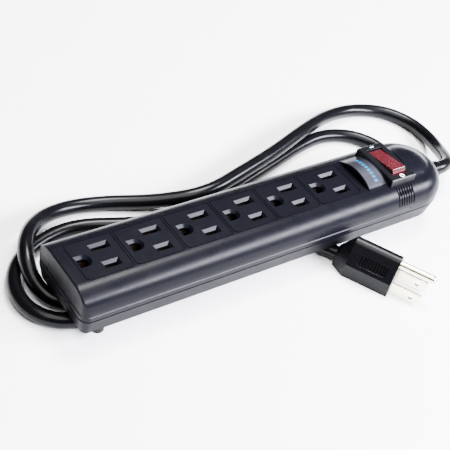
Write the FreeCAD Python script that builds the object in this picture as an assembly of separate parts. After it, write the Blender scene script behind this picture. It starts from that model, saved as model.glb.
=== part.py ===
import FreeCAD, Part
import math
import os

from FreeCAD import Rotation, Vector

# A six-outlet power strip: two plastic shells, three contact rails, a rocker switch that is also the
# breaker, and a mains cord that is laid behind, round and under the strip.
# Millimetres. The origin is the centre of the base's underside, +X runs to the switch and the cord,
# +Y is the side of the longer blade slots, +Z is up.

# ---- Housing ----
strip_length = 250.0
strip_width = 48.8
base_height = 9.2
seam_gap = 0.7
shell_height = 15.6
shoulder_radius = 12.0
side_wall = 2.2
top_wall = 2.4
floor_wall = 2.2
end_corner_radius = 5.0
smallest_corner = 0.8
outline_ease = 0.1
base_draft = 2.0
end_edge_round = 1.0
lip_rise = 1.6
lip_clearance = 0.15
ledge_height = 2.9
ledge_line = 0.7
ledge_stop = 12.0

# ---- Outlets ----
outlet_count = 6
outlet_pitch = 29.5
outlet_margin = 23.65
blade_spacing = 12.7
ground_offset = 11.9
slot_width = 2.1
neutral_slot_length = 8.1
hot_slot_length = 6.7
ground_hole_radius = 2.65
ground_hole_flat = 2.5
lead_in = 1.4
panel_half_width = 13.0
panel_left_reach = 18.7
panel_right_reach = 9.8
first_panel_left_reach = 16.8
panel_line = 0.45
panel_line_depth = 0.4
panel_corner = 1.6

# ---- Crown, label and switch ----
crown_offset = 14.5
crown_half_chord = 14.2
crown_rise = 4.4
label_edge = 0.7
label_length = 12.4
label_half_chord = 12.9
label_recess = 0.5
label_thickness = 0.4
switch_offset = 38.2
bezel_length = 18.7
bezel_width = 32.0
bezel_rise = 4.4
bezel_seat_drop = 1.1
bezel_clearance = 0.1
bezel_edge = 0.7
rib_count = 7
rib_pitch = 1.9
rib_width = 0.8
rib_depth = 0.6
rib_drop = 9.5
rocker_thickness = 9.8
rocker_reach = 11.6
rocker_top = 4.7
rocker_skirt = 5.2
rocker_tilt = 9.0
rocker_edge = 0.5
rocker_clearance = 0.3
pivot_drop = 3.9
pivot_radius = 1.2
pivot_grip = 2.0
pivot_play = 0.05
breaker_wall = 1.5
breaker_depth = 16.4
plunger_radius = 1.6
plunger_reach = 10.7
arm_length = 17.0
arm_width = 5.0
arm_thickness = 0.8
arm_drop = 11.4
arm_tilt = 7.0
arm_axle_radius = 0.8
contact_radius = 1.5
contact_height = 0.5
contact_gap = 0.3
terminal_width = 5.0
terminal_thickness = 0.8
terminal_foot_gap = 0.4

# ---- Contact rails ----
rail_level = 6.0
rail_thickness = 0.8
rail_width = 4.4
leaf_thickness = 0.6
leaf_length = 6.4
leaf_top_gap = 1.4
leaf_flare = 0.7
leaf_flare_height = 2.0
blade_grip = 1.2
ground_grip = 4.2
ground_leaf_length = 5.0
rail_reach = 8.5
ground_rail_reach = 4.0
rib_thickness = 1.6
rib_half_width = 16.0

# ---- Screws, feet and hanging slots ----
screw_starts = (27.0, 105.0, 185.0)
screw_inset = 8.0
boss_radius = 3.2
post_radius = 4.2
screw_radius = 1.4
screw_clearance = 0.2
screw_head_radius = 2.6
screw_head_height = 1.8
screw_head_sink = 0.6
screw_bite = 8.0
cross_length = 3.0
cross_width = 0.7
cross_depth = 0.9
foot_radius = 3.6
foot_height = 4.6
foot_stem_radius = 1.8
foot_stem_length = 3.4
foot_left_margin = 12.5
foot_right_margin = 25.0
foot_left_inset = 6.2
foot_right_inset = 8.4
keyhole_starts = (47.0, 191.0)
keyhole_head_radius = 4.2
keyhole_slot_radius = 2.1
keyhole_slot_run = 8.0

# ---- Mains cord and its fixings ----
cord_diameter = 8.4
cord_gap = 0.5
cord_tail = 32.0
relief_proud = 9.0
relief_flange_radius = 7.2
relief_flange = 1.6
relief_flange_gap = 0.3
relief_root_radius = 5.6
relief_tip_radius = 4.9
wire_radius = 1.3
wire_spread = 2.0
wire_start = 4.0
wire_drop = 2.9
wire_rail_run = 7.5
neutral_wire_offset = 8.0
ground_wire_offset = 3.8
clamp_length = 7.0
clamp_half_width = 11.0
clamp_height = 6.0
clamp_inset = 2.0
clamp_screw_offset = 8.2
clamp_screw_radius = 1.2
clamp_screw_length = 11.0
clamp_head_radius = 2.2
clamp_head_height = 1.4

# ---- Plug ----
plug_half_width = 11.0
plug_sole = 4.5
plug_shoulder = 4.3
plug_ridge_radius = 4.6
ground_pin_height = 11.9
plug_body_length = 27.0
plug_tail_length = 8.0
plug_tail_scale = 0.5
blade_length = 17.5
blade_width = 6.35
blade_thickness = 1.5
blade_hole_radius = 1.7
blade_hole_place = 11.9
blade_root = 5.0
blade_tip = 0.5
ground_pin_radius = 2.4
ground_pin_length = 21.4
grip_count = 9
grip_pitch = 1.7
grip_gap = 0.9
grip_depth = 0.9
grip_rib_sink = 0.2
grip_corner = 1.2
grip_length = 6.4
grip_start = 4.6
grip_lowering = 0.8

# ---- Worked out from the above ----
half_length = strip_length / 2
half_width = strip_width / 2
seam = base_height + seam_gap
deck = seam + shell_height
shell_roof = deck - top_wall
round_centre = half_length - half_width
cavity_inset = base_draft + side_wall
outlets = [-half_length + outlet_margin + outlet_pitch * i for i in range(outlet_count)]
blade_row = blade_spacing / 2
crown_start = outlets[-1] + crown_offset
crown_radius = (crown_half_chord ** 2 + crown_rise ** 2) / (2 * crown_rise)
crown_axis = deck + crown_rise - crown_radius
switch_x = outlets[-1] + switch_offset
bezel_seat = deck - bezel_seat_drop
bezel_top = deck + bezel_rise
opening_half_length = rocker_reach + rocker_clearance
opening_half_width = rocker_thickness / 2 + rocker_clearance
pivot = bezel_top - pivot_drop
breaker_half_length = opening_half_length + breaker_wall
breaker_half_width = opening_half_width + breaker_wall
breaker_floor = bezel_seat - breaker_depth
arm_height = pivot - arm_drop
terminal_foot = floor_wall + terminal_foot_gap
contact_row = arm_length / 2 - contact_radius
rail_middle = rail_level + rail_thickness / 2
rail_end = outlets[-1] + rail_reach
cord_radius = cord_diameter / 2
ground_level = -cord_diameter - cord_gap
cord_level = ground_level + cord_radius
cord_height = (base_height + seam) / 2
cord_inner_end = half_length + relief_proud - cord_tail
clamp_start = cord_inner_end + clamp_inset

# The cord's route, corner by corner, from just outside the strain relief to the plug, set out round a
# strip of the length and width given here. It lies on the floor where no height is given, and rises
# where it crosses over itself.
route_length = 250.0
route_width = 48.8
route_corners = [
    (139, 0, cord_height), (146.5, 2.5, 8.2), (153.5, 10, 5), (162, 22, -0.5), (169, 37, -4),
    (169.5, 56), (159, 73), (139, 82),
    (113, 79.5, -1.5), (84, 67.5, 4.2), (52, 56, 4.0), (20, 47, 4.0), (-11, 39, 3.6), (-38, 50, -2.5),
    (-60, 61), (-82, 66), (-102, 61, -1), (-117, 48.5, 4.3), (-125.8, 34, 4.9), (-128, 20.5, -1.2),
    (-124, 7), (-111, -0.5), (-92, -1), (-54, 5), (-12, 9), (28, 7), (62, 2), (89, 1.5),
    (111, 9), (126, 23), (130, 42), (120, 59), (101, 66.5), (79, 63.5), (52, 55.5), (22, 47),
    (-8, 37), (-34, 33), (-62, 42), (-86, 51), (-107, 48.5), (-125.5, 40), (-136, 26), (-138, 10),
    (-132, -2.5), (-120, -9.5), (-105, -10.5), (-78, -9), (-44, -8), (-14, -5.5), (11.9, -4.9),
    (24.65, -9), (34, -16.7), (38.3, -24.4),
]
cord_route = [(half_length + relief_proud, 0, cord_height)]
for x, y, *height in route_corners:
    z = height[0] if height else cord_level
    cord_route.append((x * strip_length / route_length, y * strip_width / route_width, z))

last_run = Vector(*cord_route[-1]) - Vector(*cord_route[-2])
plug_angle = math.degrees(math.atan2(last_run.y, last_run.x))

X_AXIS = Vector(1, 0, 0)
Y_AXIS = Vector(0, 1, 0)
Z_AXIS = Vector(0, 0, 1)


def box(x0, x1, y0, y1, z0, z1):
    """A block between two corners."""
    return Part.makeBox(x1 - x0, y1 - y0, z1 - z0, Vector(x0, y0, z0))


def rod(radius, start, end):
    """A cylinder from one point to another."""
    run = Vector(*end) - Vector(*start)
    return Part.makeCylinder(radius, run.Length, Vector(*start), run)


def solid_of(points, push):
    """A flat outline with straight sides, pushed out along a vector."""
    corners = [Vector(*p) for p in points]
    return Part.Face(Part.makePolygon(corners + corners[:1])).extrude(Vector(*push))


def turned_x(shape, degrees, y, z):
    """The shape turned about a line along X, positive raising the +Y side."""
    copy = shape.copy()
    copy.rotate(Vector(0, y, z), X_AXIS, degrees)
    return copy


def joined(shapes):
    """One solid out of several that touch."""
    return shapes[0].multiFuse(shapes[1:]).removeSplitter()


def plan_outline(inset, z, ease=0):
    """The strip's outline from above, drawn in from its edge: rounded left corners, half-round right.

    The ease widens it, so that its sides stay clear of a body of the same width."""
    left = -half_length + inset
    side = half_width - inset + ease
    corner = max(end_corner_radius - inset, smallest_corner) + ease
    bend = corner * (1 - math.sqrt(0.5))
    edges = []
    for sign in (1, -1):
        start = Vector(left + corner, sign * side, z)
        middle = Vector(left + bend, sign * (side - bend), z)
        end = Vector(left, sign * (side - corner), z)
        edges.append(Part.Arc(start, middle, end).toShape())
        edges.append(Part.makeLine(start, Vector(round_centre, sign * side, z)))
    edges.append(Part.makeLine(Vector(left, side - corner, z), Vector(left, corner - side, z)))
    tip = Vector(round_centre + side, 0, z)
    far = Vector(round_centre, side, z)
    near = Vector(round_centre, -side, z)
    edges.append(Part.Arc(far, tip, near).toShape())
    return Part.Wire(Part.__sortEdges__(edges))


def plan_prism(inset, z0, z1, ease=0):
    """The outline, pushed up between two heights."""
    return Part.Face(plan_outline(inset, z0, ease)).extrude(Vector(0, 0, z1 - z0))


def domed(inset, z0, z1, radius):
    """The strip's body between two heights: rounded shoulders along it and round its right end."""
    side = half_width - inset
    flat = side - radius
    bend = radius * math.sqrt(0.5)
    left = -half_length - 1
    arc = Part.Arc(Vector(left, side, z1 - radius), Vector(left, flat + bend, z1 - radius + bend),
                   Vector(left, flat, z1))
    lines = [
        Part.makeLine(Vector(left, 0, z1), Vector(left, 0, z0)),
        Part.makeLine(Vector(left, 0, z0), Vector(left, side, z0)),
        Part.makeLine(Vector(left, side, z0), Vector(left, side, z1 - radius)),
        arc.toShape(),
        Part.makeLine(Vector(left, flat, z1), Vector(left, 0, z1)),
    ]
    half = Part.Face(Part.Wire(lines))
    far = half.extrude(Vector(round_centre - left, 0, 0))
    near = far.mirror(Vector(0, 0, 0), Y_AXIS)
    end = half.copy()
    end.translate(Vector(round_centre - left, 0, 0))
    end = end.revolve(Vector(round_centre, 0, 0), Z_AXIS, -180)
    return joined([far, near, end]).common(plan_prism(inset, z0 - 1, z1 + 1, outline_ease))


def crown_body():
    """The low barrel on top of the deck, with a ball-shaped right end."""
    centre = (0, crown_axis)
    barrel = rod(crown_radius, (crown_start, *centre), (round_centre, *centre))
    ball = Part.makeSphere(crown_radius, Vector(round_centre, 0, crown_axis), X_AXIS)
    tip = round_centre + crown_radius
    reach = crown_half_chord + 1
    above = box(crown_start - 1, tip, -reach, reach, deck - 1, bezel_top + 1)
    end = ball.common(box(round_centre, tip, -crown_radius, crown_radius, 0, bezel_top + 1))
    return joined([barrel, end]).common(above)


def slot_tool(x, y, length, width):
    """A blade slot through the roof with sloping sides at its mouth."""
    def rim(grow, z):
        a = length / 2 + grow
        b = width / 2 + grow
        corners = [Vector(x - a, y - b, z), Vector(x + a, y - b, z), Vector(x + a, y + b, z),
                   Vector(x - a, y + b, z)]
        return Part.makePolygon(corners + corners[:1])

    mouth = Part.makeLoft([rim(0, deck - lead_in), rim(lead_in, deck)], True, True)
    return box(x - length / 2, x + length / 2, y - width / 2, y + width / 2,
               shell_roof - 1, deck + 1).fuse(mouth)


def ground_tool(x):
    """A ground-pin hole: round towards the blade slots, square on the other side, with a sloping mouth."""
    def rim(grow, z):
        radius = ground_hole_radius + grow
        flat = x - ground_hole_flat - grow
        corners = [Vector(x, radius, z), Vector(flat, radius, z),
                   Vector(flat, -radius, z), Vector(x, -radius, z)]
        edges = [Part.makeLine(a, b) for a, b in zip(corners, corners[1:])]
        edges.append(Part.Arc(corners[-1], Vector(x + radius, 0, z), corners[0]).toShape())
        return Part.Wire(edges)

    mouth = Part.makeLoft([rim(0, deck - lead_in), rim(lead_in, deck)], True, True)
    shaft = Part.Face(rim(0, shell_roof - 1)).extrude(Vector(0, 0, top_wall + 2))
    return shaft.fuse(mouth)


def panel_tool(x0, x1):
    """The fine line round one outlet: a groove with its two near corners cut across."""
    def plate(inset):
        a = x0 + inset
        b = x1 - inset
        far = panel_half_width - inset
        near = -far
        cut = panel_corner
        corners = [(a, far), (b, far), (b, near + cut), (b - cut, near), (a + cut, near), (a, near + cut)]
        lifted = [(px, py, deck - panel_line_depth) for px, py in corners]
        return solid_of(lifted, (0, 0, panel_line_depth + 1))

    return plate(0).cut(plate(panel_line))


def cross_rod(radius, reach, height):
    """A rod along X through the switch, reaching equally to both sides of it."""
    return rod(radius, (switch_x - reach, 0, height), (switch_x + reach, 0, height))


def label_band(inner, outer, half_chord, x0, x1):
    """A strip of the crown's curved surface between two radii."""
    centre = (0, crown_axis)
    ring = rod(outer, (x0, *centre), (x1, *centre)).cut(rod(inner, (x0 - 1, *centre), (x1 + 1, *centre)))
    return ring.common(box(x0, x1, -half_chord, half_chord, deck, crown_axis + outer))


def screw_places():
    """Where the six housing screws stand."""
    offset = half_width - screw_inset
    return [(start - half_length, sign * offset) for start in screw_starts for sign in (-1, 1)]


def foot_places():
    """Where the four feet stand."""
    left = -half_length + foot_left_margin
    right = half_length - foot_right_margin
    left_offset = half_width - foot_left_inset
    right_offset = half_width - foot_right_inset
    return [(left, -left_offset), (left, left_offset), (right, -right_offset), (right, right_offset)]


def relief_bore():
    """The hole through both shells that grips the strain relief."""
    return rod(relief_root_radius, (half_length - cavity_inset - 2, 0, cord_height),
               (half_length + 2, 0, cord_height))


def upper_shell():
    """The top half: deck, shoulders, crown, slots and the pocket for the switch."""
    outer = domed(0, seam, deck, shoulder_radius)
    end_edges = [e for e in outer.Edges if e.BoundBox.XMax < -half_length + 0.01]
    high_edges = [e for e in end_edges if e.BoundBox.ZMax > deck - 1]
    outer = outer.makeFillet(end_edge_round, high_edges)
    outer = outer.fuse(crown_body())
    room = domed(side_wall, seam - 1, shell_roof, shoulder_radius - side_wall)
    bosses = [rod(boss_radius, (x, y, base_height), (x, y, shell_roof + 1)) for x, y in screw_places()]
    skin = domed(side_wall / 2, base_height - 1, shell_roof + top_wall / 2, shoulder_radius - side_wall / 2)
    bosses = [b.common(skin) for b in bosses]
    shell = outer.cut(room).multiFuse(bosses)

    tools = []
    for x, y in screw_places():
        tools.append(rod(screw_radius, (x, y, base_height - 1), (x, y, base_height + screw_bite)))
    for i, x in enumerate(outlets):
        reach = first_panel_left_reach if i == 0 else panel_left_reach
        tools.append(panel_tool(x - reach, x + panel_right_reach))
        tools.append(slot_tool(x, blade_row, neutral_slot_length, slot_width))
        tools.append(slot_tool(x, -blade_row, hot_slot_length, slot_width))
        tools.append(ground_tool(x - ground_offset))

    # The label's shallow seat, the bezel's pocket and the hole the breaker stands in.
    x0 = crown_start + label_edge
    tools.append(label_band(crown_radius - label_recess, crown_radius + 1, label_half_chord, x0,
                            x0 + label_length))
    half_x = bezel_length / 2 + bezel_clearance
    half_y = bezel_width / 2 + bezel_clearance
    tools.append(box(switch_x - half_x, switch_x + half_x, -half_y, half_y, bezel_seat, bezel_top + 1))
    half_x = breaker_half_width + bezel_clearance
    half_y = breaker_half_length + bezel_clearance
    tools.append(box(switch_x - half_x, switch_x + half_x, -half_y, half_y, shell_roof - 1, bezel_top + 1))

    # The line above the seam along both sides and round the left end.
    line_z = seam + ledge_height
    for sign in (-1, 1):
        line = box(-half_length - 1, round_centre - ledge_stop, -ledge_line / 2, ledge_line / 2,
                   -ledge_line / 2, ledge_line / 2)
        line.rotate(Vector(0, 0, 0), X_AXIS, 45)
        line.translate(Vector(0, sign * half_width, line_z))
        tools.append(line)
    line = box(-ledge_line / 2, ledge_line / 2, -half_width, half_width, -ledge_line / 2, ledge_line / 2)
    line.rotate(Vector(0, 0, 0), Y_AXIS, 45)
    line.translate(Vector(-half_length, 0, line_z))
    tools.append(line)

    # Short grooves down the near shoulder beside the switch.
    shoulder_axis = (seam + shell_height - shoulder_radius)
    row = half_width - shoulder_radius
    for i in range(rib_count):
        x = switch_x + (i - (rib_count - 1) / 2) * rib_pitch
        ring = rod(shoulder_radius + 1, (x - rib_width / 2, -row, shoulder_axis),
                   (x + rib_width / 2, -row, shoulder_axis))
        ring = ring.cut(rod(shoulder_radius - rib_depth, (x - rib_width, -row, shoulder_axis),
                            (x + rib_width, -row, shoulder_axis)))
        tools.append(ring.common(box(x - rib_width, x + rib_width, -half_width - 1, -bezel_width / 2 - 1,
                                     deck - rib_drop, deck)))

    tools.append(relief_bore())
    return shell.cut(tools)


def base_shell():
    """The bottom half: sloping walls, inner lip, rails' ribs, screw posts and hanging slots."""
    outer = Part.makeLoft([plan_outline(base_draft, 0), plan_outline(0, base_height)], True, True)
    lip = plan_prism(side_wall + lip_clearance, floor_wall, seam + lip_rise)
    shell = outer.fuse(lip).cut(plan_prism(cavity_inset, floor_wall, seam + lip_rise + 1))

    parts = [rod(post_radius, (x, y, 0), (x, y, base_height)) for x, y in screw_places()]
    for a, b in zip(outlets[:-1], outlets[1:]):
        x = (a + b) / 2
        parts.append(box(x - rib_thickness / 2, x + rib_thickness / 2, -rib_half_width, rib_half_width,
                         floor_wall / 2, rail_level))
    parts.append(box(clamp_start, clamp_start + clamp_length, -clamp_half_width, clamp_half_width,
                     floor_wall / 2, cord_height))
    shell = shell.multiFuse(parts)

    tools = [relief_bore()]
    for x, y in screw_places():
        seat = screw_head_sink + screw_head_height
        tools.append(rod(screw_head_radius + screw_clearance, (x, y, -1), (x, y, seat)))
        tools.append(rod(screw_radius + screw_clearance, (x, y, 0), (x, y, base_height + 1)))
        tools.append(rod(boss_radius + screw_clearance, (x, y, base_height), (x, y, seam + lip_rise + 1)))
    for x, y in foot_places():
        tools.append(rod(foot_stem_radius, (x, y, -1), (x, y, floor_wall + 1)))
    for start in keyhole_starts:
        x = start - half_length
        tools.append(rod(keyhole_head_radius, (x, 0, -1), (x, 0, floor_wall + 1)))
        end = x + keyhole_slot_run
        tools.append(rod(keyhole_slot_radius, (end, 0, -1), (end, 0, floor_wall + 1)))
        tools.append(box(x, end, -keyhole_slot_radius, keyhole_slot_radius, -1, floor_wall + 1))
    tools.append(rod(cord_radius, (cord_inner_end, 0, cord_height), (half_length, 0, cord_height)))
    for sign in (-1, 1):
        x = clamp_start + clamp_length / 2
        y = sign * clamp_screw_offset
        tip = cord_height + clamp_height - clamp_screw_length
        tools.append(rod(clamp_screw_radius, (x, y, tip), (x, y, cord_height + 1)))
    return shell.cut(tools)


def label_plate():
    """The thin curved label let into the crown."""
    x0 = crown_start + label_edge
    inner = crown_radius - label_recess
    return label_band(inner, inner + label_thickness, label_half_chord, x0, x0 + label_length)


def switch_bezel():
    """The frame round the rocker, with a blind bore each side for its pin."""
    half_x = bezel_length / 2
    half_y = bezel_width / 2
    frame = box(switch_x - half_x, switch_x + half_x, -half_y, half_y, bezel_seat, bezel_top)
    top_edges = [e for e in frame.Edges if e.BoundBox.ZMin > bezel_top - 0.01]
    frame = frame.makeChamfer(bezel_edge, top_edges)
    frame = frame.cut(box(switch_x - opening_half_width, switch_x + opening_half_width,
                          -opening_half_length, opening_half_length, bezel_seat - 1, bezel_top + 1))
    return frame.cut(pivot_pin())


def pivot_pin():
    """The steel pin the rocker turns on."""
    reach = opening_half_width + pivot_grip
    return cross_rod(pivot_radius, reach, pivot)


def rocker_button():
    """The rocker: a slice of a round bar, flat on top, tilted with its far end pressed."""
    x0 = switch_x - rocker_thickness / 2
    disc = rod(rocker_reach, (x0, 0, pivot), (x0 + rocker_thickness, 0, pivot))
    body = disc.common(box(x0, x0 + rocker_thickness, -rocker_reach, rocker_reach, pivot - rocker_skirt,
                           pivot + rocker_top))
    top_edges = [e for e in body.Edges if e.BoundBox.ZMin > pivot + rocker_top - 0.01]
    body = body.makeFillet(rocker_edge, top_edges)
    body = body.cut(cross_rod(pivot_radius + pivot_play, rocker_thickness / 2 + 1, pivot))
    return turned_x(body, -rocker_tilt, 0, pivot)


def rocker_plunger():
    """The spring plunger under the rocker, round-ended."""
    tip = pivot - plunger_reach + plunger_radius
    stem = rod(plunger_radius, (switch_x, 0, tip), (switch_x, 0, pivot - rocker_skirt))
    ball = Part.makeSphere(plunger_radius, Vector(switch_x, 0, tip))
    return turned_x(stem.fuse(ball).removeSplitter(), -rocker_tilt, 0, pivot)


def breaker_body():
    """The box under the bezel that holds the contacts, open at the top."""
    outer = box(switch_x - breaker_half_width, switch_x + breaker_half_width,
                -breaker_half_length, breaker_half_length, breaker_floor, bezel_seat)
    room = box(switch_x - opening_half_width, switch_x + opening_half_width,
               -opening_half_length, opening_half_length, breaker_floor + breaker_wall, bezel_seat + 1)
    reach = opening_half_width + breaker_wall / 2 + pivot_play
    axle = cross_rod(arm_axle_radius + pivot_play, reach, arm_height)
    return outer.cut([room, axle, line_terminal(), load_terminal()])


def breaker_arm():
    """The seesaw contact that the plunger tips over, with a stub axle at each side."""
    x0 = switch_x - arm_width / 2
    plate = box(x0, x0 + arm_width, -arm_length / 2, arm_length / 2,
                arm_height - arm_thickness / 2, arm_height + arm_thickness / 2)
    stubs = cross_rod(arm_axle_radius, opening_half_width + breaker_wall / 2, arm_height)
    stubs = stubs.cut(cross_rod(arm_axle_radius + 1, plunger_radius + contact_gap, arm_height))
    under = arm_height - arm_thickness / 2
    stud = rod(contact_radius, (switch_x, -contact_row, under - contact_height),
               (switch_x, -contact_row, under))
    return turned_x(joined([plate, stud] + stubs.Solids), arm_tilt, 0, arm_height)


def line_terminal():
    """The fixed contact under the arm's near end, with a tab through the breaker's floor."""
    tilt = math.radians(arm_tilt)
    drop = arm_length / 2 * math.sin(tilt) + (arm_thickness / 2 + contact_height) * math.cos(tilt)
    top = arm_height - drop - contact_gap
    x0 = switch_x - terminal_width / 2
    y = -contact_row
    pad = box(x0, x0 + terminal_width, y - contact_radius, y + contact_radius, top - terminal_thickness, top)
    tab = box(x0, x0 + terminal_width, y - terminal_thickness / 2, y + terminal_thickness / 2,
              terminal_foot, top - terminal_thickness)
    return joined([pad, tab])


def load_terminal():
    """The upright blade the arm rocks on, with a tab through the breaker's floor."""
    x0 = switch_x - terminal_width / 2
    top = arm_height - arm_axle_radius - contact_gap
    return box(x0, x0 + terminal_width, -terminal_thickness / 2, terminal_thickness / 2, terminal_foot, top)


def leaf_pair(x, y, grip, length):
    """Two springy leaves standing on a rail, opening out at the top."""
    top = shell_roof - leaf_top_gap
    bend = top - leaf_flare_height
    foot = rail_middle
    leaves = []
    for sign in (-1, 1):
        near = sign * grip / 2
        far = sign * (grip / 2 + leaf_thickness)
        flare = sign * leaf_flare
        side = [(near, foot), (near, bend), (near + flare, top),
                (far + flare, top), (far, bend), (far, foot)]
        leaves.append(solid_of([(x - length / 2, y + py, pz) for py, pz in side], (length, 0, 0)))
    return leaves


def blade_rail(y):
    """A brass rail with a pair of leaves under every blade slot of one row."""
    strip = box(outlets[0] - rail_reach, rail_end, y - rail_width / 2, y + rail_width / 2,
                rail_level, rail_level + rail_thickness)
    leaves = []
    for x in outlets:
        leaves += leaf_pair(x, y, blade_grip, leaf_length)
    return joined([strip] + leaves)


def ground_rail():
    """The middle rail, with a wider pair of leaves under every ground hole."""
    half = ground_grip / 2 + leaf_thickness
    strip = box(outlets[0] - ground_offset - ground_rail_reach, rail_end, -half, half,
                rail_level, rail_level + rail_thickness)
    leaves = []
    for x in outlets:
        leaves += leaf_pair(x - ground_offset, 0, ground_grip, ground_leaf_length)
    return joined([strip] + leaves)


def housing_screws():
    """Six screws driven up from below, with a cross in each head."""
    screws = []
    for x, y in screw_places():
        seat = screw_head_sink + screw_head_height
        head = rod(screw_head_radius, (x, y, screw_head_sink), (x, y, seat))
        shank = rod(screw_radius, (x, y, seat), (x, y, base_height + screw_bite))
        top = screw_head_sink + cross_depth
        a = cross_length / 2
        b = cross_width / 2
        cross = box(x - a, x + a, y - b, y + b, 0, top).fuse(box(x - b, x + b, y - a, y + a, 0, top))
        screws.append(joined([head, shank]).cut(cross))
    return Part.makeCompound(screws)


def foot(x, y):
    """A round rubber foot with a stem through the floor."""
    pad = rod(foot_radius, (x, y, -foot_height), (x, y, 0))
    stem = rod(foot_stem_radius, (x, y, 0), (x, y, foot_stem_length))
    low_edges = [e for e in pad.Edges if e.BoundBox.ZMax < -foot_height + 0.01]
    return joined([pad.makeFillet(smallest_corner, low_edges), stem])


def cord_relief():
    """The moulded sleeve that holds the cord in the end wall."""
    room = half_width - cavity_inset
    wall = round_centre + math.sqrt(room ** 2 - relief_flange_radius ** 2) - relief_flange_gap
    profile = [
        (wall - relief_flange, cord_radius), (wall - relief_flange, relief_flange_radius),
        (wall, relief_flange_radius), (wall, relief_root_radius), (half_length + 0.5, relief_root_radius),
        (half_length + relief_proud, relief_tip_radius), (half_length + relief_proud, cord_radius),
    ]
    corners = [Vector(x, 0, cord_height + r) for x, r in profile]
    face = Part.Face(Part.makePolygon(corners + corners[:1]))
    return face.revolve(Vector(0, 0, cord_height), X_AXIS, 360)


def cord_clamp():
    """The bar screwed down over the cord inside the strip."""
    bar = box(clamp_start, clamp_start + clamp_length, -clamp_half_width, clamp_half_width,
              cord_height, cord_height + clamp_height)
    x = clamp_start + clamp_length / 2
    top = cord_height + clamp_height
    end = clamp_start + clamp_length
    tools = [rod(cord_radius, (clamp_start - 1, 0, cord_height), (end + 1, 0, cord_height))]
    for sign in (-1, 1):
        y = sign * clamp_screw_offset
        tools.append(rod(clamp_screw_radius, (x, y, cord_height - 1), (x, y, top + 1)))
    return bar.cut(tools)


def clamp_screws():
    """Two screws through the clamp bar."""
    screws = []
    x = clamp_start + clamp_length / 2
    top = cord_height + clamp_height
    for sign in (-1, 1):
        y = sign * clamp_screw_offset
        shank = rod(clamp_screw_radius, (x, y, top - clamp_screw_length), (x, y, top))
        head = rod(clamp_head_radius, (x, y, top), (x, y, top + clamp_head_height))
        screws.append(joined([shank, head]))
    return Part.makeCompound(screws)


def tube(points, radius, name):
    """A round tube of straight runs joined by tangent arcs."""
    corners = [Vector(*p) for p in points]
    share = 0.45
    edges = []
    radii = []
    start = corners[0]
    for before, corner, after in zip(corners, corners[1:], corners[2:]):
        back = before - corner
        ahead = after - corner
        cut = share * min(back.Length, ahead.Length)
        half_turn = (math.pi - back.getAngle(ahead)) / 2
        arc_radius = cut / math.tan(half_turn)
        radii.append(arc_radius)
        back.normalize()
        ahead.normalize()
        first = corner + back * cut
        last = corner + ahead * cut
        inward = back + ahead
        inward.normalize()
        middle = corner + inward * (arc_radius / math.cos(half_turn) - arc_radius)
        edges.append(Part.LineSegment(start, first).toShape())
        edges.append(Part.Arc(first, middle, last).toShape())
        start = last
    edges.append(Part.LineSegment(start, corners[-1]).toShape())
    path = Part.Wire(edges)
    section = Part.Wire(Part.makeCircle(radius, corners[0], corners[1] - corners[0]))
    shape = path.makePipeShell([section], True, False)
    expected = math.pi * radius ** 2 * path.Length
    share_filled = shape.Volume / expected
    print("%s: length %.1f mm, volume %.4f of section x length" % (name, path.Length, share_filled))
    print("%s: bend radii %s mm" % (name, " ".join("%.0f" % r for r in radii)))
    return shape


def power_cord():
    """The jacketed cord, from inside the strip to the back of the plug."""
    tail = rod(cord_radius, (cord_inner_end, 0, cord_height), cord_route[0])
    return tail.fuse(tube(cord_route, cord_radius, "power_cord")).removeSplitter()


def wires():
    """The conductors inside the strip, each from its start to where it is joined on."""
    low = cord_height - wire_spread / 2
    high = cord_height + wire_spread
    under = breaker_floor - wire_drop
    start = cord_inner_end
    bend = start - wire_start
    right = switch_x + breaker_half_width
    left = switch_x - breaker_half_width
    turn = left - wire_rail_run
    landing = rail_end + wire_rail_run
    tab = terminal_width / 2
    return {
        "line_wire": [(start, -wire_spread, low), (bend, -wire_spread, low), (right, -contact_row, under),
                      (switch_x + tab, -contact_row, under)],
        "neutral_wire": [(start, wire_spread, low), (bend, wire_spread, low),
                         (right, neutral_wire_offset, under), (turn, neutral_wire_offset, under),
                         (landing, blade_row, rail_middle), (rail_end, blade_row, rail_middle)],
        "ground_wire": [(start, 0, high), (bend, 0, high), (right, wire_radius / 2, under),
                        (switch_x, ground_wire_offset, under), (turn, ground_wire_offset, under),
                        (landing, 0, rail_middle), (rail_end, 0, rail_middle)],
        "load_wire": [(switch_x - tab, 0, under), (left, 0, under), (landing, -blade_row, rail_middle),
                      (rail_end, -blade_row, rail_middle)],
    }


def in_plug_place(shape):
    """Move a piece drawn with the plug's face at the origin to where the plug lies."""
    reach = plug_body_length + plug_tail_length
    turn = Rotation(Z_AXIS, plug_angle)
    back = Vector(cord_route[-1][0], cord_route[-1][1], ground_level + plug_sole)
    shape = shape.copy()
    shape.Placement = FreeCAD.Placement(back + turn.multVec(Vector(reach, 0, 0)), turn)
    return shape


def ridge_side():
    """Where the plug's roof slope runs into the round ridge, on the +Y side."""
    rise = ground_pin_height - plug_shoulder
    gap = math.hypot(plug_half_width, rise)
    lean = math.acos(plug_ridge_radius / gap) - math.atan2(rise, plug_half_width)
    return plug_ridge_radius * math.cos(lean), ground_pin_height + plug_ridge_radius * math.sin(lean)


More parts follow.
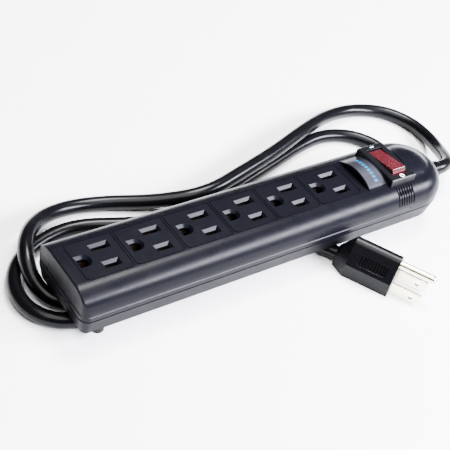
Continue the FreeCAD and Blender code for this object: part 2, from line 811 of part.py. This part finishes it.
def plug_section(x, scale):
    """The plug's outline: flat sole, upright sides, sloping roof and a round ridge over the ground pin."""
    ridge_y, ridge_z = ridge_side()
    top = ground_pin_height + plug_ridge_radius

    def at(y, z):
        return Vector(x, y * scale, -plug_sole + (z + plug_sole) * scale)

    corners = [at(-ridge_y, ridge_z), at(-plug_half_width, plug_shoulder), at(-plug_half_width, -plug_sole),
               at(plug_half_width, -plug_sole), at(plug_half_width, plug_shoulder), at(ridge_y, ridge_z)]
    edges = [Part.makeLine(a, b) for a, b in zip(corners, corners[1:])]
    edges.append(Part.Arc(corners[-1], at(0, top), corners[0]).toShape())
    return Part.Wire(edges)


def grip_tool(side):
    """What is taken out of one roof slope for the fingers: a rounded recess with ribs left standing."""
    ridge_y, ridge_z = ridge_side()
    slope = math.degrees(math.atan2(ridge_z - plug_shoulder, plug_half_width - ridge_y))
    half = grip_length / 2
    back = -grip_count * grip_pitch - grip_gap
    recess = box(back, 0, -half, half, -grip_depth, grip_depth)
    corners = [e for e in recess.Edges if e.BoundBox.ZLength > grip_depth]
    recess = recess.makeFillet(grip_corner, corners)
    ribs = []
    for i in range(grip_count):
        x = -grip_gap - i * grip_pitch
        ribs.append(box(x - grip_pitch + grip_gap, x, -half, half, -grip_depth, -grip_rib_sink))
    tool = recess.cut(ribs)
    tool.translate(Vector(-grip_start, side * grip_lowering, 0))
    tool.rotate(Vector(0, 0, 0), X_AXIS, -side * slope)
    tool.translate(Vector(0, side * (plug_half_width + ridge_y) / 2, (plug_shoulder + ridge_z) / 2))
    return tool


def plug_body():
    """The moulded plug, tapering to the cord, with a finger grip on each of the two roof slopes."""
    body = Part.Face(plug_section(0, 1)).extrude(Vector(-plug_body_length, 0, 0))
    tail = Part.makeLoft([plug_section(-plug_body_length, 1),
                          plug_section(-plug_body_length - plug_tail_length, plug_tail_scale)], True, True)
    tools = [plug_blade(-1), plug_blade(1), ground_pin(), grip_tool(-1), grip_tool(1)]
    return joined([body, tail]).cut(tools)


def plug_blade(side):
    """A flat brass blade with a hole near its tip."""
    y = side * blade_spacing / 2
    a = blade_width / 2
    b = blade_thickness / 2
    tip = blade_length
    outline = [(-blade_root, -a), (tip - blade_tip, -a), (tip, blade_tip - a), (tip, a - blade_tip),
               (tip - blade_tip, a), (-blade_root, a)]
    blade = solid_of([(x, y - b, z) for x, z in outline], (0, blade_thickness, 0))
    hole = rod(blade_hole_radius, (blade_hole_place, y - b - 1, 0), (blade_hole_place, y + b + 1, 0))
    return blade.cut(hole)


def ground_pin():
    """The round ground pin with a domed tip."""
    z = ground_pin_height
    end = ground_pin_length - ground_pin_radius
    shank = rod(ground_pin_radius, (-blade_root, 0, z), (end, 0, z))
    return joined([shank, Part.makeSphere(ground_pin_radius, Vector(end, 0, z))])


def save(node, shape):
    """Write one node's solids."""
    shape.exportStep("parts/%s.step" % node)
    print("%-22s %2d solid(s) %9.1f mm3 valid %s" % (node, len(shape.Solids), shape.Volume, shape.isValid()))


os.makedirs("parts", exist_ok=True)

save("upper_shell", upper_shell())
save("base_shell", base_shell())
save("label_plate", label_plate())
save("switch_bezel", switch_bezel())
save("rocker_button", rocker_button())
save("rocker_pin", pivot_pin())
save("rocker_plunger", rocker_plunger())
save("breaker_body", breaker_body())
save("breaker_arm", breaker_arm())
save("breaker_line_terminal", line_terminal())
save("breaker_load_terminal", load_terminal())
save("hot_rail", blade_rail(-blade_row))
save("neutral_rail", blade_rail(blade_row))
save("ground_rail", ground_rail())
save("housing_screws", housing_screws())
for number, (x, y) in enumerate(foot_places()):
    save("foot_%d" % (number + 1), foot(x, y))
save("cord_strain_relief", cord_relief())
save("cord_clamp", cord_clamp())
save("clamp_screws", clamp_screws())
for name, route in wires().items():
    save(name, tube(route, wire_radius, name))
save("power_cord", power_cord())
save("plug_body", in_plug_place(plug_body()))
save("hot_blade", in_plug_place(plug_blade(1)))
save("neutral_blade", in_plug_place(plug_blade(-1)))
save("ground_pin", in_plug_place(ground_pin()))
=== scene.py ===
import math

import bmesh
import bpy
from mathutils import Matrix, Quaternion, Vector


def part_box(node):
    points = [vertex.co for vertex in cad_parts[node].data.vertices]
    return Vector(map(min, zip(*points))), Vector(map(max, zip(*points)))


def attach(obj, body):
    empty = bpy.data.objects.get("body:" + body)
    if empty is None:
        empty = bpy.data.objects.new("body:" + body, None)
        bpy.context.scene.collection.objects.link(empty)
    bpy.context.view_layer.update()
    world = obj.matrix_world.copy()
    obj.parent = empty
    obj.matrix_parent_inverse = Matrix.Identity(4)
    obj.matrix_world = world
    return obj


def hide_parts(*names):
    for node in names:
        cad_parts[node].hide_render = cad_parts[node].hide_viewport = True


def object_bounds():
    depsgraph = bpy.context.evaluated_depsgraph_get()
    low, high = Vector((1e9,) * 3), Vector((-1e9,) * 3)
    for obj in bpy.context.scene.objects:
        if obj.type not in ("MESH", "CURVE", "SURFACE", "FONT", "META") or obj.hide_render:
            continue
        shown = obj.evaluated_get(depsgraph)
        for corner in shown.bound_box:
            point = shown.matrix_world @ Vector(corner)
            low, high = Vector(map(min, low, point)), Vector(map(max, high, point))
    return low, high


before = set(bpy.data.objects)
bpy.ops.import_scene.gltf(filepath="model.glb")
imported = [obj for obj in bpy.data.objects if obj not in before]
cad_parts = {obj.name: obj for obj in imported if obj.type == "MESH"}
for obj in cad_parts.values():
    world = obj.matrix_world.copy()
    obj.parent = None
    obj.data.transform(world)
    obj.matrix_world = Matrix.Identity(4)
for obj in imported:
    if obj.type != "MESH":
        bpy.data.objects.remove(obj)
cad_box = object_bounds()
MM = 0.001


# ---- The camera ----
# A long lens out past the strip's plain end, on its -Y side. It looks down at the strip's middle and
# is tipped a little to the left.
camera_place = Vector((-322.3, -301.5, 378.9)) * MM
camera_azimuth = math.radians(-44.29)
camera_elevation = math.radians(40.50)
camera_roll = math.radians(14.73)
camera = bpy.data.objects.new("camera", bpy.data.cameras.new("camera"))
bpy.context.scene.collection.objects.link(camera)
bpy.context.scene.camera = camera
level = math.cos(camera_elevation)
looking = Vector((-math.sin(camera_azimuth) * level, math.cos(camera_azimuth) * level,
                  -math.sin(camera_elevation)))
camera.rotation_mode = "QUATERNION"
camera.rotation_quaternion = looking.to_track_quat("-Z", "Y") @ Quaternion((0, 0, 1), camera_roll)
camera.location = camera_place
camera.data.sensor_width = 36
camera.data.lens = 84.5
camera.data.clip_start = 0.01
camera.data.clip_end = 20


# ---- The floor ----
# A plain pale sheet. The strip lies on its own cord, so the undersides of the cord and the plug are
# the lowest things there are, and the sheet is a hair below them.
# Every material here is a Finish. Arithmetic on its numbers adds nodes, so a pattern reads as maths.
class Number:
    """A number that changes over a surface; arithmetic on it adds the nodes."""

    def __init__(self, finish, socket):
        self.finish = finish
        self.socket = socket

    def worked(self, operation, *numbers):
        """The result of one Math node."""
        inputs = dict(enumerate(numbers))
        return self.finish.node("ShaderNodeMath", {"operation": operation}, inputs).number(0)

    def __add__(self, other):
        return self.worked("ADD", self, other)

    __radd__ = __add__

    def __sub__(self, other):
        return self.worked("SUBTRACT", self, other)

    def __rsub__(self, other):
        return self.worked("SUBTRACT", other, self)

    def __mul__(self, other):
        return self.worked("MULTIPLY", self, other)

    __rmul__ = __mul__

    def __lt__(self, other):
        return self.worked("LESS_THAN", self, other)

    def __gt__(self, other):
        return self.worked("GREATER_THAN", self, other)

    def size(self):
        """Its distance from nought."""
        return self.worked("ABSOLUTE", self)

    def root(self):
        """Its square root."""
        return self.worked("SQRT", self)

    def wrapped(self, pitch):
        """What is left of it after whole pitches are taken off."""
        return self.worked("FLOORED_MODULO", self, pitch)


class Step:
    """One node of a finish."""

    def __init__(self, finish, node):
        self.finish = finish
        self.node = node

    def number(self, output):
        """One of its outputs, as a number."""
        return Number(self.finish, self.node.outputs[output])

    def link(self, output):
        """One of its outputs, as a colour or a direction."""
        return self.node.outputs[output]


class Finish:
    """A material with one principled shader, whose fixed values are given by name."""

    def __init__(self, name, **fixed):
        self.material = bpy.data.materials.new(name)
        self.material.use_nodes = True
        self.tree = self.material.node_tree
        self.shader = self.tree.nodes["Principled BSDF"]
        for socket, value in fixed.items():
            self.shader.inputs[socket.replace("_", " ")].default_value = value
        self.place = self.node("ShaderNodeTexCoord").link("Object")

    def feed(self, socket, value):
        """Set a socket to a value, or join it to a number or a link."""
        if isinstance(value, Number):
            value = value.socket
        if isinstance(value, bpy.types.NodeSocket):
            self.tree.links.new(value, socket)
        else:
            socket.default_value = value

    def node(self, kind, settings=None, inputs=None):
        """A node of any kind: its settings first, then the values or links of its sockets."""
        node = self.tree.nodes.new(kind)
        for name, value in (settings or {}).items():
            setattr(node, name, value)
        for socket, value in (inputs or {}).items():
            self.feed(node.inputs[socket], value)
        return Step(self, node)

    def noise(self, scale, detail=2.0):
        """A cloudy number between nought and one."""
        inputs = {"Vector": self.place, "Scale": scale, "Detail": detail}
        return self.node("ShaderNodeTexNoise", {}, inputs).number("Fac")

    def axes(self):
        """Where a point is along X, Y and Z, in metres."""
        parts = self.node("ShaderNodeSeparateXYZ", {}, {"Vector": self.place})
        return {axis: parts.number(axis) for axis in "XYZ"}

    def mixed(self, share, first, second):
        """Two colours mixed by a number."""
        step = self.node("ShaderNodeMix", {"data_type": "RGBA"}, {"Factor": share, 6: first, 7: second})
        return step.link(2)

    def colour(self, value):
        """What the surface is painted."""
        self.feed(self.shader.inputs["Base Color"], value)

    def gloss(self, value):
        """How rough the surface is."""
        self.feed(self.shader.inputs["Roughness"], value)

    def raised(self, height, depth):
        """Fine relief: a number and how many metres it stands up."""
        bump = self.node("ShaderNodeBump", {}, {"Height": height, "Distance": depth, "Strength": 1.0})
        self.feed(self.shader.inputs["Normal"], bump.link("Normal"))


def shade(value):
    """A grey."""
    return (value, value, value, 1)


floor_gap = 0.05 * MM
floor_level = cad_box[0].z - floor_gap
floor_half = 3.0
floor_mesh = bmesh.new()
bmesh.ops.create_grid(floor_mesh, x_segments=2, y_segments=2, size=floor_half)
bmesh.ops.translate(floor_mesh, verts=floor_mesh.verts, vec=(0, 0, floor_level))
floor_data = bpy.data.meshes.new("floor")
floor_mesh.to_mesh(floor_data)
floor = bpy.data.objects.new("floor", floor_data)
bpy.context.scene.collection.objects.link(floor)
paper = Finish("paper", Roughness=0.75)
paper.colour(paper.mixed(paper.noise(4.0), shade(0.95), shade(0.97)))
floor_data.materials.append(paper.material)


# ---- The lights ----
# A long, low soft box before the strip makes the highlight on its near shoulder and on the slots'
# sloping sides. The key stands behind, high on the right, and throws the soft shadow towards the
# camera; a large box overhead and the sky fill in.
def soft_box(name, place, aim, width, height, power, colour=(1, 1, 1)):
    """A rectangular light aimed at a point."""
    light = bpy.data.lights.new(name, "AREA")
    light.shape = "RECTANGLE"
    light.size = width
    light.size_y = height
    light.energy = power
    light.color = colour
    lamp = bpy.data.objects.new(name, light)
    bpy.context.scene.collection.objects.link(lamp)
    lamp.location = place
    lamp.rotation_mode = "QUATERNION"
    lamp.rotation_quaternion = (Vector(aim) - Vector(place)).to_track_quat("-Z", "Y")


soft_box("front_box", (0.62, -0.76, 0.62), (0, 0, 0.01), 1.1, 0.24, 165, (0.88, 0.89, 1.0))
soft_box("key_box", (0.42, 0.36, 1.55), (0, 0, 0), 0.5, 0.5, 72)
soft_box("overhead_box", (-0.20, -0.30, 1.60), (0, 0, 0), 1.3, 1.3, 62)
world = bpy.data.worlds.new("sky")
bpy.context.scene.world = world
world.use_nodes = True
world.node_tree.nodes["Background"].inputs["Color"].default_value = (1, 1, 1, 1)
world.node_tree.nodes["Background"].inputs["Strength"].default_value = 0.10


# ---- The mains cord ----
# Round three-core cord in a satin black jacket. It leaves the sleeve, makes one big loop behind the
# strip and back under it, then a second that runs partly under the first, and ends in the plug.
cord_diameter = 8.4 * MM
cord_lying = cad_box[0].z / MM + cord_diameter / MM / 2
cord_exit_height = 9.55
cord_route = [
    (102, 0, cord_exit_height), (134, 0, cord_exit_height),
    (139, 0, cord_exit_height), (146.5, 2.5, 8.2), (153.5, 10, 5), (162, 22, -0.5), (169, 37, -4),
    (169.5, 56), (159, 73), (139, 82),
    (113, 79.5, -1.5), (84, 67.5, 4.2), (52, 56, 4.0), (20, 47, 4.0), (-11, 39, 3.6), (-38, 50, -2.5),
    (-60, 61), (-82, 66), (-102, 61, -1), (-117, 48.5, 4.3), (-125.8, 34, 4.9), (-128, 20.5, -1.2),
    (-124, 7), (-111, -0.5), (-92, -1), (-54, 5), (-12, 9), (28, 7), (62, 2), (89, 1.5),
    (111, 9), (126, 23), (130, 42), (120, 59), (101, 66.5), (79, 63.5), (52, 55.5), (22, 47),
    (-8, 37), (-34, 33), (-62, 42), (-86, 51), (-107, 48.5), (-125.5, 40), (-136, 26), (-138, 10),
    (-132, -2.5), (-120, -9.5), (-105, -10.5), (-78, -9), (-44, -8), (-14, -5.5), (11.9, -4.9),
    (24.65, -9), (34, -16.7), (38.3, -24.4),
]
cord_line = bpy.data.curves.new("mains_cord", "CURVE")
cord_line.dimensions = "3D"
cord_spline = cord_line.splines.new("NURBS")
cord_spline.points.add(len(cord_route) - 1)
for knot, corner in zip(cord_spline.points, cord_route):
    x, y, z = corner if len(corner) == 3 else (*corner, cord_lying)
    knot.co = (x * MM, y * MM, z * MM, 1)
cord_spline.order_u = 3
cord_spline.use_endpoint_u = True
cord_line.resolution_u = 12
cord_line.bevel_depth = cord_diameter / 2
cord_line.bevel_resolution = 8
cord_line.use_fill_caps = True
mains_cord = bpy.data.objects.new("mains_cord", cord_line)
bpy.context.scene.collection.objects.link(mains_cord)


def black_plastic(name, dark, pale, rough, grain_scale=2600, grain_depth=0.02 * MM, shine=0.11):
    """Satin black moulding: two near blacks in clouds, and a fine spark-eroded grain."""
    finish = Finish(name, Specular_IOR_Level=shine)
    cloud = finish.noise(38, 4)
    finish.colour(finish.mixed(cloud, dark, pale))
    finish.gloss(rough + (finish.noise(140, 3) - 0.5) * 0.16)
    finish.raised(finish.noise(grain_scale, 2), grain_depth)
    return finish


jacket_dark = (0.0010, 0.0010, 0.0014, 1)
jacket_pale = (0.0022, 0.0022, 0.0030, 1)
cord_jacket = black_plastic("cord_jacket", jacket_dark, jacket_pale, 0.24, 1500, 0.01 * MM)
cord_line.materials.append(cord_jacket.material)
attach(mains_cord, "housing")
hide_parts("power_cord")


# ---- The housing ----
# Two moulded shells, joined along a seam with a narrow shadow line. Each is shown as a copy of its
# solid, joined up and smooth-shaded, so that the shoulders read as curves.
def finished(node, name, finish, body, edge=0.0, smooth_below=32):
    """A piece made from a CAD node's own solid, with its round faces smooth and its edges eased."""
    same_point = 0.002 * MM
    same_plane = math.radians(0.2)
    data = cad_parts[node].data.copy()
    data.name = name
    mesh = bmesh.new()
    mesh.from_mesh(data)
    bmesh.ops.remove_doubles(mesh, verts=mesh.verts, dist=same_point)
    bmesh.ops.dissolve_limit(mesh, angle_limit=same_plane, verts=mesh.verts, edges=mesh.edges)
    for face in mesh.faces:
        face.smooth = True
    for line in mesh.edges:
        line.smooth = line.is_manifold and line.calc_face_angle(math.pi) < math.radians(smooth_below)
    mesh.to_mesh(data)
    mesh.free()
    data.materials.clear()
    data.materials.append(finish.material)
    piece = bpy.data.objects.new(name, data)
    bpy.context.scene.collection.objects.link(piece)
    if edge:
        eased = piece.modifiers.new("eased", "BEVEL")
        eased.width = edge
        eased.segments = 2
        eased.limit_method = "ANGLE"
        eased.angle_limit = math.radians(smooth_below)
        eased.harden_normals = True
        eased.use_clamp_overlap = True
    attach(piece, body)
    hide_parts(node)
    return piece


housing_dark = (0.0016, 0.0016, 0.0028, 1)
housing_pale = (0.0028, 0.0028, 0.0046, 1)
base_dark = (0.0014, 0.0014, 0.0022, 1)
base_pale = (0.0026, 0.0026, 0.0038, 1)
housing_black = black_plastic("housing_black", housing_dark, housing_pale, 0.30, shine=0.06)
base_black = black_plastic("base_black", base_dark, base_pale, 0.38, shine=0.04)
finished("upper_shell", "top_housing", housing_black, "housing")
finished("base_shell", "bottom_housing", base_black, "housing")


# ---- The label ----
# A thin printed film let into the crown beside the outlets. It is dark grey with a row of blue dashes
# along it; a painted sheen makes it palest a little towards its near side and darker towards its ends.
label_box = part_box("label_plate")
label_middle_x = (label_box[0].x + label_box[1].x) / 2
label_half_y = label_box[1].y
label_film = Finish("label_film", Metallic=0.35, Specular_IOR_Level=0.4)
label_place = label_film.axes()
label_x = label_place["X"]
label_y = label_place["Y"]
dash_row_x = label_middle_x + 0.9 * MM
dash_half_width = 1.15 * MM
dash_pitch = 2.5 * MM
dash_length = 1.6 * MM
dash_start = 0.4 * MM
dash_row = (label_x - dash_row_x).size() < dash_half_width
dash_on = (label_y + dash_start).wrapped(dash_pitch) < dash_length
dashes_end = label_half_y * 0.80
# Painted sheen: the film is palest a little towards its near side and darker towards both ends.
sheen_offset = label_half_y * 0.35
sheen_fade_rate = 0.75 / label_half_y
dash_reach = label_y.size() < dashes_end
label_sheen_fade = (label_y + sheen_offset).size() * sheen_fade_rate
film_sheen_pale = (0.030, 0.030, 0.040, 1)
film_dark = (0.004, 0.004, 0.006, 1)
dash_blue = (0.008, 0.12, 0.27, 1)
film_with_sheen = label_film.mixed(label_sheen_fade, film_sheen_pale, film_dark)
label_film.colour(label_film.mixed(dash_row * dash_on * dash_reach, film_with_sheen, dash_blue))
label_film.gloss(0.34 + (label_film.noise(220, 3) - 0.5) * 0.12)
finished("label_plate", "printed_label", label_film, "housing")


# ---- The switch ----
# A black frame with a dark red ribbed rocker in it. The rocker turns on a steel pin. A bar is printed
# on the frame's far end and a ring on its near end.
bezel_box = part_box("switch_bezel")
bezel_middle = (bezel_box[0] + bezel_box[1]) / 2
mark_inset = 2.3 * MM
mark_line = 0.36 * MM
ring_radius = 1.1 * MM
bar_half = 1.4 * MM
mark_depth = 0.1 * MM
frame_grain_depth = 0.015 * MM
frame_black = Finish("frame_black", Specular_IOR_Level=0.11)
frame_place = frame_black.axes()
across = frame_place["X"] - bezel_middle.x
ring_y = frame_place["Y"] - (bezel_box[0].y + mark_inset)
bar_y = frame_place["Y"] - (bezel_box[1].y - mark_inset)
ring = ((across * across + ring_y * ring_y).root() - ring_radius).size() < mark_line
bar = (across.size() < bar_half) * (bar_y.size() < mark_line)
top_only = frame_place["Z"] > bezel_box[1].z - mark_depth
frame_dark = (0.0016, 0.0016, 0.0022, 1)
frame_pale = (0.0030, 0.0030, 0.0040, 1)
mark_white = (0.72, 0.72, 0.74, 1)
frame_tone = frame_black.mixed(frame_black.noise(60, 3), frame_dark, frame_pale)
frame_black.colour(frame_black.mixed((ring + bar) * top_only, frame_tone, mark_white))
frame_black.gloss(0.34 + (frame_black.noise(150, 3) - 0.5) * 0.14)
frame_black.raised(frame_black.noise(2600, 2), frame_grain_depth)
finished("switch_bezel", "switch_frame", frame_black, "housing", 0.2 * MM)

rocker_red = Finish("rocker_red", Specular_IOR_Level=0.45, Coat_Weight=0.25, Coat_Roughness=0.2)
rib_pitch = 1.1 * MM
rocker_rib = rocker_red.axes()["Y"].wrapped(rib_pitch) < rib_pitch / 2
rib_height = 0.04 * MM
rocker_dark = (0.026, 0.0010, 0.0030, 1)
rocker_pale_and_sheen = (0.056, 0.0030, 0.0070, 1)
# Random clouds of two reds, plus a painted highlight: the raised half of each rib is painted paler.
rocker_cloud_and_rib_sheen = rocker_red.noise(700, 2) * 0.6 + rocker_rib * 0.4
rocker_red.colour(rocker_red.mixed(rocker_cloud_and_rib_sheen, rocker_dark, rocker_pale_and_sheen))
rocker_red.gloss(0.26 + (rocker_red.noise(300, 2) - 0.5) * 0.08)
rocker_red.raised(rocker_rib, rib_height)
finished("rocker_button", "red_rocker", rocker_red, "rocker", 0.25 * MM)


# ---- The plug ----
# A black moulding that lies on its flat sole and tapers to the cord, with a ribbed finger grip on
# each slope of its roof. The two flat blades and the round ground pin are pale brass, moulded in.
plug_dark = (0.0012, 0.0012, 0.0016, 1)
plug_pale = (0.0024, 0.0024, 0.0032, 1)
plug_black = black_plastic("plug_black", plug_dark, plug_pale, 0.28, 1800)
plug_shell = finished("plug_body", "moulded_plug", plug_black, "housing", 0.5 * MM)
pale_brass = Finish("pale_brass", Metallic=1.0)
brass_yellow = (0.86, 0.74, 0.48, 1)
brass_pale = (0.97, 0.92, 0.76, 1)
pale_brass.colour(pale_brass.mixed(pale_brass.noise(400, 3), brass_yellow, brass_pale))
pale_brass.gloss(0.20 + (pale_brass.noise(900, 3) - 0.5) * 0.14)
blades = [
    finished("hot_blade", "plug_hot_blade", pale_brass, "housing", 0.15 * MM),
    finished("neutral_blade", "plug_neutral_blade", pale_brass, "housing", 0.15 * MM),
    finished("ground_pin", "plug_ground_pin", pale_brass, "housing"),
]
sleeve = finished("cord_strain_relief", "cord_sleeve", cord_jacket, "housing", 0.3 * MM)


# ---- The feet ----
# Four soft round feet of black rubber, each with a stem that is pushed up through the base. They
# hang clear of the floor here, because the strip lies on its cord.
foot_rubber = black_plastic("foot_rubber_black", shade(0.004), shade(0.008), 0.62, 900)
for number in range(1, 5):
    finished("foot_%d" % number, "rubber_foot_%d" % number, foot_rubber, "housing", 0.2 * MM)


# ---- The inside ----
# Brass rails and contacts, the breaker's mouldings, the screws and the short wires. They keep their
# solids and get their own finishes.
def dress(finish, *nodes):
    """Give CAD nodes a finish."""
    for node in nodes:
        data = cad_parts[node].data
        for place in range(len(data.materials)):
            data.materials[place] = finish.material


def metal(name, dark, bright, rough):
    """Stamped or plated metal with a faint cloudy tarnish."""
    finish = Finish(name, Metallic=1.0)
    finish.colour(finish.mixed(finish.noise(260, 4), dark, bright))
    finish.gloss(rough + (finish.noise(700, 3) - 0.5) * 0.2)
    return finish


def insulation(name, dark, pale):
    """The coloured skin of one wire."""
    finish = Finish(name, Specular_IOR_Level=0.5)
    finish.colour(finish.mixed(finish.noise(300, 2), dark, pale))
    finish.gloss(0.4 + (finish.noise(500, 2) - 0.5) * 0.1)
    return finish


rail_brass = metal("rail_brass", (0.16, 0.11, 0.05, 1), (0.34, 0.26, 0.14, 1), 0.34)
zinc = metal("zinc_plate", (0.50, 0.50, 0.52, 1), (0.72, 0.72, 0.72, 1), 0.36)
inner_black = black_plastic("inner_black", (0.03, 0.03, 0.03, 1), (0.05, 0.05, 0.052, 1), 0.5)
dress(rail_brass, "hot_rail", "neutral_rail", "ground_rail", "breaker_arm", "breaker_line_terminal",
      "breaker_load_terminal")
dress(zinc, "housing_screws", "clamp_screws", "rocker_pin")
dress(inner_black, "breaker_body", "rocker_plunger", "cord_clamp")
dress(insulation("black_wire", (0.02, 0.02, 0.02, 1), (0.035, 0.035, 0.035, 1)), "line_wire", "load_wire")
dress(insulation("white_wire", (0.70, 0.70, 0.68, 1), (0.80, 0.80, 0.78, 1)), "neutral_wire")
dress(insulation("green_wire", (0.02, 0.25, 0.07, 1), (0.04, 0.33, 0.10, 1)), "ground_wire")
